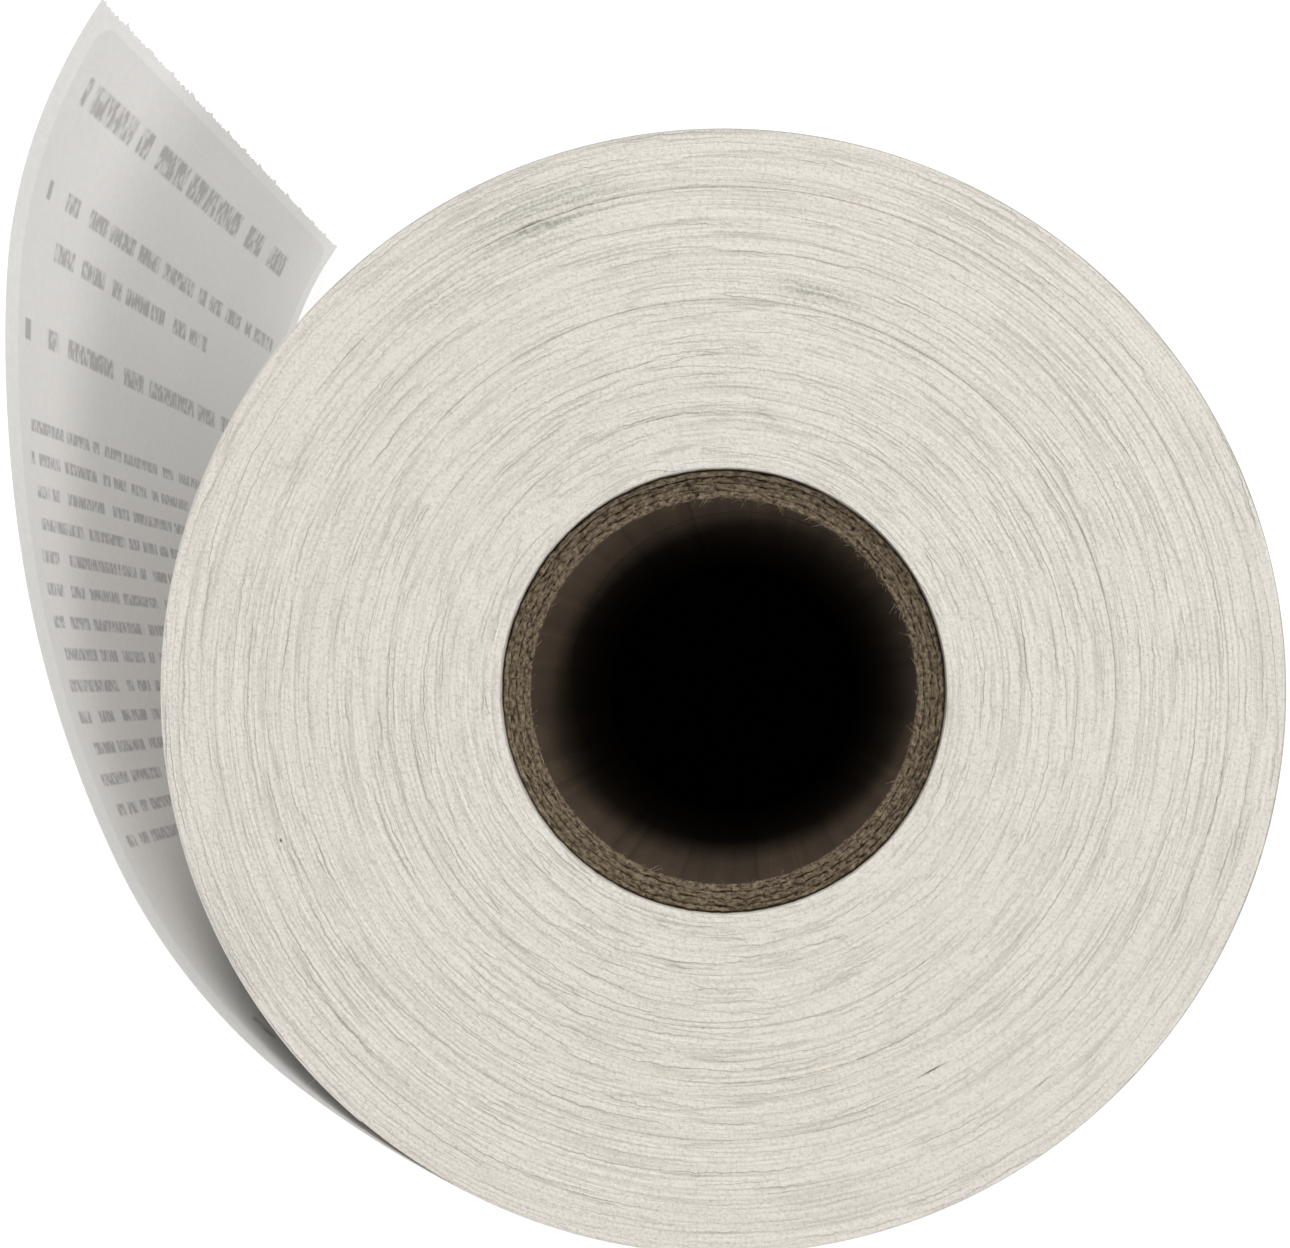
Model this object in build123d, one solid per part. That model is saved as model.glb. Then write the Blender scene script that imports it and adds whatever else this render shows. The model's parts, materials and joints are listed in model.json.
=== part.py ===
"""A roll of die-cut labels on a release liner, standing on its end, with a free tail.

The web is wound labels-out on a paperboard core. It runs clockwise off the roll, seen from above, as
a tail that still holds some of the roll's curl. Millimetres, +Z up along the core's axis. The origin
is on that axis at the roll's lower end.
"""

import os
from math import atan2, cos, degrees, radians, sin

from build123d import *

# --- the core: a paperboard tube of four plies
CORE_BORE_D = 50.8
CORE_WALL = 3.81
CORE_PLIES = ["core_inner_ply", "core_second_ply", "core_third_ply", "core_outer_ply"]
CORE_RECESS = 1.0  # the core's upper end lies this far below the web's edge
CORE_CRUSH = (0.4, 1.6)  # radial and axial size of the crushed rim at the core's upper end

# --- the strip that holds the web's first end to the core
TAPE_T = 0.10
TAPE_WIDTH = 19.0
TAPE_MARGIN = 8.0  # from each edge of the web

# --- the web
LINER_T = 0.08
LABEL_T = 0.10
LABEL_WIDTH = 101.6
LABEL_LENGTH = 152.4
SIDE_MARGIN = 3.2  # bare liner along each edge
LABEL_GAP = 3.2  # bare liner between two labels, with the perforation at its middle
LABEL_CORNER = 3.2

# --- the wound turns
ROLL_D = 147.0
TURN_CLEARANCE = 0.05  # between the outermost turn and those under it
BAND_STEPS = [0.1, 0.0, 0.2, 0.0, 0.15, 0.0]  # how far each band of turns lies below the web's edge
OUTER_TURN_SWEEP = 346.0  # the rest of the turn is tucked under the tail

# --- the tail: a stretch up to the perforation, then the lead label's stretches
LEAVES_AT = 243.9  # degrees round the roll
ROOT_LENGTH = 26.5
ROOT_BEND_R = 139.0
LEAD_BEND_RADII = [81.0, 144.0, 175.0, 70.0]  # from the perforation to the torn end
FLEX_GAP = 0.12  # between neighbouring stretches, so that they can turn
TORN_MARGIN = 2.4  # bare liner past the lead label's end
FLAP_LENGTH = 28.0  # the lead label's free end, which can be lifted


def tube(inner_r, outer_r, height):
    """A plain upright tube that stands on the ground."""
    return extrude(Circle(outer_r) - Circle(inner_r), height)


def sector(centre, inner_r, outer_r, start, sweep, low, high):
    """A curved sheet: the part of an upright tube from one angle to another, in degrees."""
    a, b = radians(start), radians(start + sweep)
    middle = radians(start + sweep / 2)

    def at(r, angle):
        return (centre[0] + r * cos(angle), centre[1] + r * sin(angle))

    outline = Wire(
        [
            ThreePointArc(at(outer_r, a), at(outer_r, middle), at(outer_r, b)),
            Line(at(outer_r, b), at(inner_r, b)),
            ThreePointArc(at(inner_r, b), at(inner_r, middle), at(inner_r, a)),
            Line(at(inner_r, a), at(outer_r, a)),
        ]
    )
    return extrude(Location((0, 0, low)) * Face(outline), high - low, dir=(0, 0, 1))


def save(shape, node):
    """Writes one node's STEP file."""
    export_step(shape, f"parts/{node}.step")


# --- sizes that follow from the values above
core_bore_r = CORE_BORE_D / 2
core_r = core_bore_r + CORE_WALL
ply_t = CORE_WALL / len(CORE_PLIES)
web_width = LABEL_WIDTH + 2 * SIDE_MARGIN
core_length = web_width - CORE_RECESS
label_low = SIDE_MARGIN
label_high = label_low + LABEL_WIDTH
liner_r = ROLL_D / 2 - LABEL_T - LINER_T  # inner face of the outermost turn
label_r = liner_r + LINER_T
pack_r = liner_r - TURN_CLEARANCE


def round_corners(label, ends):
    """Rounds a label's corners at the given cut ends, each a point on the end's face."""
    corners = []
    for end in ends:
        for z in (label_low, label_high):
            corners.append(label.edges().sort_by_distance((end[0], end[1], z))[0])
    return fillet(corners, LABEL_CORNER)


def core():
    """The plies, one inside the other, with the outer one crushed in at its upper rim."""
    for number, node in enumerate(CORE_PLIES):
        inner = core_bore_r + number * ply_t
        ply = tube(inner, inner + ply_t, core_length)
        if node == CORE_PLIES[-1]:
            radial, axial = CORE_CRUSH
            rim = ply.edges().filter_by(GeomType.CIRCLE).sort_by(Axis.Z)[-2:]
            outer_rim = max(rim, key=lambda edge: edge.radius)
            top = ply.faces().sort_by(Axis.Z)[-1]
            ply = chamfer(outer_rim, radial, axial, reference=top)
        save(ply, node)


def start_tape():
    """The tape on the core's outside, under the first turn."""
    sweep = degrees(TAPE_WIDTH / core_r)
    low, high = TAPE_MARGIN, web_width - TAPE_MARGIN
    return sector((0, 0), core_r, core_r + TAPE_T, 0.0, sweep, low, high)


def wound_bands(tape):
    """The wound turns, as bands that touch face to face. The first is relieved for the tape."""
    band_t = (pack_r - core_r) / len(BAND_STEPS)
    for number, step in enumerate(BAND_STEPS):
        inner = core_r + number * band_t
        band = tube(inner, inner + band_t, web_width - step)
        if number == 0:
            band -= tape
        save(band, f"wound_turns_{number + 1}")


def outer_turn():
    """The outermost turn's liner, and the labels round it, counted back from where the tail leaves."""
    save(
        sector((0, 0), liner_r, label_r, LEAVES_AT, OUTER_TURN_SWEEP, 0, web_width),
        "outer_turn_liner",
    )
    on_tail = ROOT_LENGTH - LABEL_GAP / 2
    start, length = LEAVES_AT, LABEL_LENGTH - on_tail
    liner_end = LEAVES_AT + OUTER_TURN_SWEEP
    turn = degrees(1 / label_r)
    for number in range(1, 4):
        stop = min(start + length * turn, liner_end)
        sweep = stop - start
        label = sector((0, 0), label_r, label_r + LABEL_T, start, sweep, label_low, label_high)
        ends = [stop] if number == 1 else [start, stop]
        middle = label_r + LABEL_T / 2
        points = [(middle * cos(radians(a)), middle * sin(radians(a))) for a in ends]
        save(round_corners(label, points), f"outer_turn_label_{number}")
        start = stop + LABEL_GAP * turn
        length = LABEL_LENGTH


class Stretch:
    """One stretch of the tail: an arc that starts at a point and a heading and bends clockwise."""

    def __init__(self, point, heading, length, bend_r):
        self.point, self.heading = point, heading
        self.length, self.bend_r = length, bend_r
        self.centre = (
            point[0] + bend_r * sin(heading),
            point[1] - bend_r * cos(heading),
        )
        self.start = degrees(heading) + 90  # angle of the stretch's start, seen from its centre

    def angle(self, along):
        """The angle, seen from the arc's centre, of the point this far along."""
        return self.start - degrees(along / self.bend_r)

    def at(self, along, off=0.0):
        """The point this far along and this far outside the liner's inner face."""
        a = radians(self.angle(along))
        r = self.bend_r + off
        return (self.centre[0] + r * cos(a), self.centre[1] + r * sin(a))

    def after(self):
        """Where the next stretch starts, and its heading."""
        return self.at(self.length), self.heading - self.length / self.bend_r

    def sheet(self, begin, end, off, thick, low, high):
        """A sheet on this stretch, between two distances along it."""
        inner = self.bend_r + off
        sweep = self.angle(end) - self.angle(begin)
        return sector(self.centre, inner, inner + thick, self.angle(begin), sweep, low, high)


def tail_stretches():
    """The stretches from the roll outwards. The first leaves the outermost turn at a tangent."""
    a = radians(LEAVES_AT)
    point, heading = (liner_r * cos(a), liner_r * sin(a)), atan2(-cos(a), sin(a))
    found = []
    lead = (LABEL_GAP / 2 + LABEL_LENGTH + TORN_MARGIN) / len(LEAD_BEND_RADII)
    sizes = [(ROOT_LENGTH, ROOT_BEND_R)] + [(lead, bend_r) for bend_r in LEAD_BEND_RADII]
    for length, bend_r in sizes:
        found.append(Stretch(point, heading, length, bend_r))
        point, heading = found[-1].after()
    return found


def tail(stretches):
    """Liner and labels of each stretch, and the flap at the lead label's end."""
    last = len(stretches)
    for number, stretch in enumerate(stretches, 1):
        begin = 0.0 if number == 1 else FLEX_GAP / 2
        end = stretch.length if number == last else stretch.length - FLEX_GAP / 2
        save(stretch.sheet(begin, end, 0, LINER_T, 0, web_width), f"tail_liner_{number}")
        if number == 1:
            end = stretch.length - LABEL_GAP / 2
            node, cut_ends = "tail_label_root", [end]
        else:
            node, cut_ends = f"lead_label_{number - 1}", []
        if number == 2:
            begin = LABEL_GAP / 2
            cut_ends = [begin]
        if number == last:
            tip = stretch.length - TORN_MARGIN
            end = tip - FLAP_LENGTH
        label = stretch.sheet(begin, end, LINER_T, LABEL_T, label_low, label_high)
        middle = LINER_T + LABEL_T / 2
        if cut_ends:
            label = round_corners(label, [stretch.at(along, middle) for along in cut_ends])
        save(label, node)
        if number == last:
            flap = stretch.sheet(end + FLEX_GAP, tip, LINER_T, LABEL_T, label_low, label_high)
            save(round_corners(flap, [stretch.at(tip, middle)]), "lead_label_flap")


def print_axes(stretches):
    """The places that the joints use: where the stretches meet, and the flap's root."""
    middle = (LINER_T + LABEL_T) / 2
    for number, stretch in enumerate(stretches[1:], 1):
        x, y = stretch.at(0, middle)
        print(f"flex {number}: {x / 1000:.6f} {y / 1000:.6f} at {degrees(stretch.heading):.1f} degrees")
    last = stretches[-1]
    x, y = last.at(last.length - TORN_MARGIN - FLAP_LENGTH + FLEX_GAP, LINER_T + LABEL_T)
    print(f"flap: {x / 1000:.6f} {y / 1000:.6f}")


os.makedirs("parts", exist_ok=True)
core()
tape = start_tape()
save(tape, "core_start_tape")
wound_bands(tape)
outer_turn()
stretches = tail_stretches()
tail(stretches)
print_axes(stretches)
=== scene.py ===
# %% [markdown]
# # A roll of labels, finished round its CAD model
# The object is a roll of die-cut labels. The labels sit on a release liner, and the liner is wound
# labels-out on a paperboard core. The roll stands on its end. Its free end, the tail, bows away from
# the roll and shows the liner's printed back.
#
# The CAD model gives every piece its place and size, and says what moves. This lesson gives the
# pieces their surfaces: slit paper edges, rough-cut board, smooth liner and satin label stock.

import json
import math
import random

import bmesh
import bpy
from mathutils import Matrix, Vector, noise


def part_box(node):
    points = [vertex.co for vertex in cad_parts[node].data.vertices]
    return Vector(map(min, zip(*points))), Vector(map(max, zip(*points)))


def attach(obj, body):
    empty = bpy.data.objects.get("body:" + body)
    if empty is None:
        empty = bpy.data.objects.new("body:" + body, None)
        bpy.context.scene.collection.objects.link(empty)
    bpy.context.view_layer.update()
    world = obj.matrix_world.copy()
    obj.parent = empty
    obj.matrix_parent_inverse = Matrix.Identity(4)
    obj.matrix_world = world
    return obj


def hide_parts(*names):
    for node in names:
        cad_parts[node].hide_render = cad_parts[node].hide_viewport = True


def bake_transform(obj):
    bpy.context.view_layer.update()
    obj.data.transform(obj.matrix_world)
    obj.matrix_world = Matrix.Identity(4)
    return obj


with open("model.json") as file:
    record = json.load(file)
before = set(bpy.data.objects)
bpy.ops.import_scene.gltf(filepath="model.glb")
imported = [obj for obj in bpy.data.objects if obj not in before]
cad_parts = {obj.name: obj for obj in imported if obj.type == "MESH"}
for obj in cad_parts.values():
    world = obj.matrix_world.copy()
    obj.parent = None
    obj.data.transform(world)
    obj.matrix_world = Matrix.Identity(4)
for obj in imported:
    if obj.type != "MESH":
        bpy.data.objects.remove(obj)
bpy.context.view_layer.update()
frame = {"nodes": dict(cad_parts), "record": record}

# %% [markdown]
# ## Sizes
# Everything is in metres, and a size that the CAD model holds is read from it. The tail's arcs can't
# be read from a box, so they are repeated here: one stretch up to the perforation, and four
# stretches under the lead label.

# %% Read the sizes from the frame
MM = 0.001
web_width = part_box("outer_turn_liner")[1].z
pack_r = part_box("wound_turns_6")[1].x
core_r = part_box("core_outer_ply")[1].x
core_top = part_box("core_outer_ply")[1].z
bore_r = frame["record"]["mounts"][0]["dims"]["r_mm"] * MM
label_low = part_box("outer_turn_label_2")[0].z
label_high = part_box("outer_turn_label_2")[1].z

LINER_T = 0.08 * MM
LABEL_T = 0.10 * MM
TURN_CLEARANCE = 0.05 * MM
LABEL_LENGTH = 152.4 * MM
LABEL_GAP = 3.2 * MM
LABEL_CORNER = 3.2 * MM
TORN_MARGIN = 2.4 * MM
FLAP_LENGTH = 28.0 * MM
OUTER_TURN_SWEEP = math.radians(346.0)
LEAVES_AT = math.radians(243.9)
ROOT_LENGTH = 26.5 * MM
BEND_RADII = [139.0 * MM, 81.0 * MM, 144.0 * MM, 175.0 * MM, 70.0 * MM]

liner_r = pack_r + TURN_CLEARANCE
lead_length = LABEL_GAP / 2 + LABEL_LENGTH + TORN_MARGIN
lead_step = lead_length / (len(BEND_RADII) - 1)
tail_length = ROOT_LENGTH + lead_length
roll_r = liner_r + LINER_T + LABEL_T
print("roll and tail, mm:", round(2 * roll_r / MM, 1), round(tail_length / MM, 1))

# %% [markdown]
# ## The camera
# The camera looks straight down on the roll's upper end, a little to one side of the core, from
# about 19 cm above it. That is close, so the bore tapers away and the tail's inner face shows. A
# small shift frames the roll off-centre without tilting the view, which keeps the rings concentric.

# %% Place the camera
CAMERA_ABOVE = 191 * MM
CAMERA_OFF_AXIS = (3.7 * MM, 0.8 * MM)
FOCAL_IN_FRAME_WIDTHS = 1.1357
AXIS_FROM_CENTRE = (0.0829, 0.0473)  # where the vertical through the lens falls, in frame widths

camera = bpy.data.objects.new("camera", bpy.data.cameras.new("camera"))
bpy.context.scene.collection.objects.link(camera)
camera.location = (*CAMERA_OFF_AXIS, web_width + CAMERA_ABOVE)
camera.data.sensor_width = 36.0
camera.data.lens = FOCAL_IN_FRAME_WIDTHS * camera.data.sensor_width
camera.data.shift_x, camera.data.shift_y = -AXIS_FROM_CENTRE[0], AXIS_FROM_CENTRE[1]
camera.data.clip_start = 0.005
bpy.context.scene.camera = camera
print("lens, mm:", round(camera.data.lens, 1))

# %% [markdown]
# ## Tools for materials
# Colours are written as the hex values a paint program shows, so one function turns them to the
# linear values that a shader works in. One more adds a node with its settings and with what it is
# fed: numbers, colours, sockets, or whole nodes, each standing for the one result that it gives.


# %% Helpers for colours and nodes
def colour(text):
    """A hex colour as linear RGBA."""
    parts = [int(text[i : i + 2], 16) / 255 for i in (1, 3, 5)]
    linear = [c / 12.92 if c <= 0.04045 else ((c + 0.055) / 1.055) ** 2.4 for c in parts]
    return (*linear, 1.0)


def feed(tree, socket, value):
    """Sets an input's value, or links a socket or a node's result to it."""
    if isinstance(value, bpy.types.Node):
        value = next(result for result in value.outputs if result.enabled)
    if isinstance(value, bpy.types.NodeSocket):
        tree.links.new(value, socket)
    else:
        socket.default_value = value


def node(tree, kind, settings=None, *values, **named):
    """Adds a node. Settings are its properties, or just its operation. Values go, in order, to the
    inputs that the node then shows, and named ones to the inputs of those names."""
    made = tree.nodes.new("ShaderNode" + kind)
    if isinstance(settings, str):
        settings = {"operation": settings}
    for name, value in (settings or {}).items():
        setattr(made, name, value)
    shown = [socket for socket in made.inputs if socket.enabled]
    for socket, value in zip(shown, values):
        feed(tree, socket, value)
    for name, value in named.items():
        feed(tree, made.inputs[name], value)
    return made


def blank_material(name):
    """A new material's tree, with its shader."""
    material = bpy.data.materials.new(name)
    material.use_nodes = True
    return material, material.node_tree, material.node_tree.nodes["Principled BSDF"]


COLOURS = {"data_type": "RGBA"}  # the setting that makes a Mix node mix colours
print("paper white:", [round(c, 3) for c in colour("#f2f0ea")[:3]])

# %% [markdown]
# ## Slit paper edges
# The roll's end is the edge of one strip, seen some 240 times over. Each turn is only 0.18 mm thick,
# which is too fine to show, so the turns are drawn as lines about 0.5 mm apart, where the slitter left
# a few turns proud together. Broader bands and a few thin crevices lie 1.3 to 1.7 mm apart. They are
# bumps, and their colour follows the bumps too: painted shade in the hollows of the lines and bands
# and in the crevices, and painted highlight on the bands' crests. Slit paper is fibrous and matt, with
# no gloss.
#
# The lines follow the turns, so the noise is read at a place made of the radius, which changes fast,
# and of the direction, which changes slowly. Pushing the radius about a little first makes the lines
# waver, as fibres do.


# %% Patterns that follow the turns
def scuff(tree, point, centre, reach, spread):
    """A soft patch, 1 at its centre, longer along the turns than across them."""
    offset = node(tree, "VectorMath", "SUBTRACT", point, centre)
    way = -math.atan2(centre[1], centre[0])
    level = node(tree, "VectorRotate", {"rotation_type": "Z_AXIS"}, Vector=offset, Angle=way)
    shrunk = node(tree, "VectorMath", "MULTIPLY", level, (1 / reach, 1 / spread, 0))
    far = node(tree, "VectorMath", "LENGTH", shrunk)
    return node(tree, "MapRange", None, far, 1.0, 0.2)


def round_the_axis(tree, place, push, push_size):
    """The direction from the axis, and the radius, pushed about by noise."""
    flat = node(tree, "VectorMath", "MULTIPLY", place, (1, 1, 0))
    radius = node(tree, "VectorMath", "LENGTH", flat)
    way = node(tree, "VectorMath", "NORMALIZE", flat)
    lumps = node(tree, "TexNoise", Vector=place, Scale=1 / push_size, Roughness=0.6)
    wander = node(tree, "Math", "SUBTRACT", lumps, 0.5)
    return way, node(tree, "Math", "MULTIPLY_ADD", wander, push, radius)


def lines_round(tree, way, radius, spacing, wander, detail=2.0):
    """Noise drawn out round the axis. A higher wander makes the lines shorter."""
    slow = node(tree, "VectorMath", "SCALE", way, Scale=wander)
    fast = node(tree, "CombineXYZ", Z=node(tree, "Math", "MULTIPLY", radius, 1 / spacing))
    where = node(tree, "VectorMath", "ADD", slow, fast)
    return node(tree, "TexNoise", Vector=where, Scale=1.0, Detail=detail, Roughness=0.6)


# %% The wound ends' material
LINE_SPACING, BAND_SPACING, CREVICE_SPACING = 0.46 * MM, 1.3 * MM, 1.7 * MM
FIBRE_SIZE, CLOUD_SIZE = 0.45 * MM, 22 * MM
# In millimetres: each scuff's place, its size across and along the turns, and its strength; then
# two dark specks in the same way.
SCUFFS = [((-23, 62), 5.0, 14.0, 0.65), ((12, 51.5), 2.6, 8.0, 0.55), ((-36, 52), 3.0, 9.0, 0.4)]
SPECKS = [((-57.8, -19.5), 0.25, 0.4), ((27.2, -49.4), 0.14, 2.6)]


def slit_paper_edges():
    """Slit label stock on liner: warm off-white, fibrous, with a few grey scuffs, and ringed with
    painted shade and painted highlight that follow the bumps.
    """
    material, tree, shader = blank_material("slit_paper_edges")
    place = node(tree, "TexCoord").outputs["Object"]
    way, radius = round_the_axis(tree, place, 0.7 * MM, 1.7 * MM)
    fine = lines_round(tree, way, radius, LINE_SPACING, 3.4)
    broad = lines_round(tree, way, radius, BAND_SPACING, 1.5)
    fibre = node(tree, "TexNoise", Vector=place, Scale=1 / FIBRE_SIZE, Detail=3.0, Roughness=0.8)
    clouds = node(tree, "TexNoise", Vector=place, Scale=1 / CLOUD_SIZE, Roughness=0.6)
    steps = lines_round(tree, way, radius, CREVICE_SPACING, 2.2, 1.5)
    off_step = node(tree, "Math", "ABSOLUTE", node(tree, "Math", "SUBTRACT", steps, 0.5))
    thin = node(tree, "MapRange", None, off_step, 0.030, 0.004)
    crevice = node(tree, "Math", "MULTIPLY", thin, node(tree, "MapRange", None, broad, 0.35, 0.6))

    warm = node(tree, "Mix", COLOURS, clouds, colour("#f6efe5"), colour("#f3ede3"))
    # Painted shade and highlight: dark lines and bands where the bump below is low, pale lines where it
    # is high.
    painted_line_shade = node(tree, "MapRange", None, fine, 0.49, 0.29, 0.0, 0.44)
    lined = node(tree, "Mix", COLOURS, painted_line_shade, warm, colour("#b6b0a5"))
    painted_band_shade = node(tree, "MapRange", None, broad, 0.42, 0.28, 0.0, 0.20)
    banded = node(tree, "Mix", COLOURS, painted_band_shade, lined, colour("#c2baad"))
    painted_ridge_highlight = node(tree, "MapRange", None, broad, 0.58, 0.74, 0.0, 0.6)
    ridged = node(tree, "Mix", COLOURS, painted_ridge_highlight, banded, colour("#f6f2e9"))
    # Painted shade in the crevices, which the bump also sinks.
    crevice_shade = node(tree, "Math", "MULTIPLY", crevice, 0.20)
    crevice_shaded = node(tree, "Mix", COLOURS, crevice_shade, ridged, colour("#a39b8c"))
    speckle = node(tree, "MapRange", None, fibre, 0.48, 0.68, 0.0, 0.52)
    toned = node(tree, "Mix", COLOURS, speckle, crevice_shaded, colour("#beb6a9"))
    worn = node(tree, "Math", "MULTIPLY_ADD", node(tree, "MapRange", None, fibre, 0.42, 0.58), 0.7, 0.3)
    for (x, y), reach, spread, strength in SCUFFS:
        patch = scuff(tree, place, (x * MM, y * MM, 0), reach * MM, spread * MM)
        streaked = node(tree, "MapRange", None, fine, 0.60, 0.38, 0.0, strength)
        broken = node(tree, "Math", "MULTIPLY", streaked, worn)
        grey = node(tree, "Math", "MULTIPLY", patch, broken)
        toned = node(tree, "Mix", COLOURS, grey, toned, colour("#8a8f86"))
    for (x, y), reach, spread in SPECKS:
        speck = scuff(tree, place, (x * MM, y * MM, 0), reach * MM, spread * MM)
        toned = node(tree, "Mix", COLOURS, speck, toned, colour("#5c5a52"))
    feed(tree, shader.inputs["Base Color"], toned)

    rough = node(tree, "Math", "MULTIPLY_ADD", fibre, 0.8, node(tree, "Math", "MULTIPLY", broad, 0.5))
    lined_relief = node(tree, "Math", "MULTIPLY_ADD", fine, 0.9, rough)
    relief = node(tree, "Math", "MULTIPLY_ADD", crevice, -0.45, lined_relief)
    bump = node(tree, "Bump", Height=relief, Strength=0.9, Distance=0.3 * MM)
    feed(tree, shader.inputs["Normal"], bump)
    shader.inputs["Roughness"].default_value = 0.93
    shader.inputs["Specular IOR Level"].default_value = 0.25
    return material


slit_edges = slit_paper_edges()
print("made", slit_edges.name)

# %% [markdown]
# ## The wound turns
# Turning a profile round the axis is the natural way to make a wound pack, because the turns are
# round. The profile's top is a comb of low ridges, one for every few turns, and the ridges then
# get a slow waver in height, because no slitter and no winder runs quite true.


# %% Build one band of turns
BANDS = 6
BAND_STEPS_ROUND = 300
RIDGE_PITCH = 0.61 * MM
RIDGE_DEPTH = 0.05 * MM
WAVER = 0.10 * MM
WAVER_ACROSS = 1.1 * MM  # how far apart two turns lie that waver differently
FINE_WAVER_ACROSS = 0.6 * MM


def finish_piece(bm, name, material, body, slot, *nodes):
    """Turns a bmesh into a smooth-shaded piece that rides on a body and stands for CAD nodes."""
    bmesh.ops.recalc_face_normals(bm, faces=bm.faces)
    for face in bm.faces:
        face.smooth = True
    for edge in bm.edges:
        edge.smooth = len(edge.link_faces) == 2 and edge.calc_face_angle(0) < math.radians(40)
    mesh = bpy.data.meshes.new(name)
    bm.to_mesh(mesh)
    bm.free()
    for one in material if isinstance(material, list) else [material]:
        mesh.materials.append(one)
    piece = bpy.data.objects.new(name, mesh)
    bpy.context.scene.collection.objects.link(piece)
    if body:
        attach(piece, body)
    if nodes:
        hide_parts(*nodes)
    return piece


def turned(bm, profile, steps):
    """Spins a closed profile of (radius, height) points round the axis into a solid."""
    corners = [bm.verts.new((r, 0, z)) for r, z in profile]
    edges = [bm.edges.new((a, b)) for a, b in zip(corners, corners[1:] + corners[:1])]
    bmesh.ops.spin(
        bm, geom=corners + edges, cent=(0, 0, 0), axis=(0, 0, 1), angle=math.tau, steps=steps,
        use_merge=True,
    )


def wound_band(number):
    """One band of turns: a ringed upper end, plain walls and a flat foot."""
    name = f"wound_turns_{number}"
    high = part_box(name)[1]
    inner = core_r + (pack_r - core_r) * (number - 1) / BANDS
    outer = core_r + (pack_r - core_r) * number / BANDS
    if number == BANDS:
        outer += 0.8 * TURN_CLEARANCE
    dice = random.Random(number)
    ridges = round((outer - inner) / RIDGE_PITCH)
    profile = [(outer, 0.0), (inner, 0.0)]
    for ridge in range(ridges):
        left = inner + (outer - inner) * ridge / ridges
        width = (outer - inner) / ridges
        lift = dice.uniform(-0.6, 0.6) * RIDGE_DEPTH
        profile.append((left, high.z - 2 * RIDGE_DEPTH))
        profile.append((left + 0.25 * width, high.z - RIDGE_DEPTH + lift))
        profile.append((left + 0.75 * width, high.z - RIDGE_DEPTH + lift))
    profile.append((outer, high.z - 2 * RIDGE_DEPTH))
    bm = bmesh.new()
    turned(bm, profile, BAND_STEPS_ROUND)
    for vert in bm.verts:
        if vert.co.z > high.z / 2:
            r = vert.co.xy.length
            way = vert.co.xy.normalized() * 2.2
            vert.co.z += WAVER * noise.noise(Vector((way.x, way.y, r / WAVER_ACROSS)))
            finer = Vector((way.x * 4, way.y * 4, r / FINE_WAVER_ACROSS))
            vert.co.z += 0.5 * WAVER * noise.noise(finer)
    return finish_piece(bm, f"band_{number}", slit_edges, "roll", "wound_web", name)


bands = [wound_band(number) for number in range(1, BANDS + 1)]
print("band faces:", [len(band.data.polygons) for band in bands])

# %% [markdown]
# ## The core's board
# The core is spiral-wound from four strips of grey-brown recycled paperboard. Its ends are cut with
# a blade, which crushes and tears the fibres, so the cut is rough and flecked dark, and the glue
# lines between plies read as broken dark rings. Inside, the bore's liner ply is smooth brown kraft.


# %% The board materials
STRAND_SPACING, BOARD_GRAIN, KRAFT_GRAIN = 0.36 * MM, 0.42 * MM, 1.6 * MM
SEAM_LEAD = 120 * MM


def rough_cut_board(name, pale, deep):
    """Recycled paperboard, blade-cut: dull, with short fibres along the plies and dark flecks."""
    material, tree, shader = blank_material(name)
    place = node(tree, "TexCoord").outputs["Object"]
    way, radius = round_the_axis(tree, place, 0.5 * MM, 0.8 * MM)
    strands = lines_round(tree, way, radius, STRAND_SPACING, 44.0, 3.0)
    grain = node(tree, "TexNoise", Vector=place, Scale=1 / BOARD_GRAIN, Detail=4.0, Roughness=0.75)
    less_grain = node(tree, "Math", "MULTIPLY", grain, 0.4)
    relief = node(tree, "Math", "MULTIPLY_ADD", strands, 0.6, less_grain)
    tone = node(tree, "MapRange", None, relief, 0.38, 0.62)
    board = node(tree, "Mix", COLOURS, tone, colour(deep), colour(pale))
    dark = node(tree, "MapRange", None, strands, 0.42, 0.30, 0.0, 0.60)
    flecked = node(tree, "Mix", COLOURS, dark, board, colour("#1f1913"))
    feed(tree, shader.inputs["Base Color"], flecked)
    bump = node(tree, "Bump", Height=relief, Strength=0.9, Distance=0.4 * MM)
    feed(tree, shader.inputs["Normal"], bump)
    shader.inputs["Roughness"].default_value = 0.96
    shader.inputs["Specular IOR Level"].default_value = 0.15
    return material


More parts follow.
